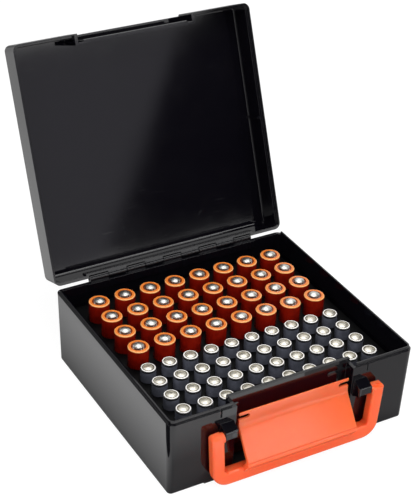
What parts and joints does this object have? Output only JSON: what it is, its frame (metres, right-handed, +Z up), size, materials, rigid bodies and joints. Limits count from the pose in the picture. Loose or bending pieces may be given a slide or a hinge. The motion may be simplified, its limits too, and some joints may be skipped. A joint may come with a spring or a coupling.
{
  "type": "battery storage case",
  "caption": "Hinged plastic storage case for standing cylindrical cells, lid open, with a swing handle at the front that is also its latch, and cells in the sockets",
  "frame": {"origin": "middle of the underside of the case, on the table plane", "axes": "+X to the right along the front, +Y to the back where the hinge is, +Z up"},
  "size_m": [0.18, 0.2582, 0.2114],
  "materials": {
    "case_plastic": "polished black moulded plastic",
    "handle_plastic": "orange moulded plastic, semi-gloss",
    "block_plastic": "black moulded plastic, matt",
    "pin_steel": "drawn steel rod",
    "aa_jacket": "glossy dark red printed jacket, orange ring at the top",
    "aaa_jacket": "glossy grey-blue printed jacket, silver rim"
  },
  "bodies": {
    "case": {"base_shell": "case_plastic", "socket_block": "block_plastic", "hinge_pin": "pin_steel", "aa_cells_column_1": "aa_jacket", "aa_cells_column_2": "aa_jacket", "aa_cells_column_3": "aa_jacket", "aa_cells_column_4": "aa_jacket", "aa_cells_column_5": "aa_jacket", "aa_cells_column_6": "aa_jacket", "aa_cells_column_7": "aa_jacket", "aa_cells_column_8": "aa_jacket", "aaa_cells_column_1": "aaa_jacket", "aaa_cells_column_2": "aaa_jacket", "aaa_cells_column_3": "aaa_jacket", "aaa_cells_column_4": "aaa_jacket", "aaa_cells_column_5": "aaa_jacket", "aaa_cells_column_6": "aaa_jacket", "aaa_cells_column_7": "aaa_jacket", "aaa_cells_column_8": "aaa_jacket", "aaa_cells_column_9": "aaa_jacket", "aaa_cells_column_10": "aaa_jacket"},
    "lid": {"lid_shell": "case_plastic"},
    "carry_handle": {"handle": "handle_plastic"}
  },
  "joints": [
    {"name": "lid_hinge", "type": "hinge", "parent": "case", "child": "lid", "pos_m": [0, 0.0832, 0.0572], "axis": [-1, 0, 0], "range_deg": [-112, 0]},
    {"name": "handle_pivot", "type": "hinge", "parent": "case", "child": "carry_handle", "pos_m": [0, -0.0866, 0.03825], "axis": [-1, 0, 0], "range_deg": [0, 180]}
  ]
}
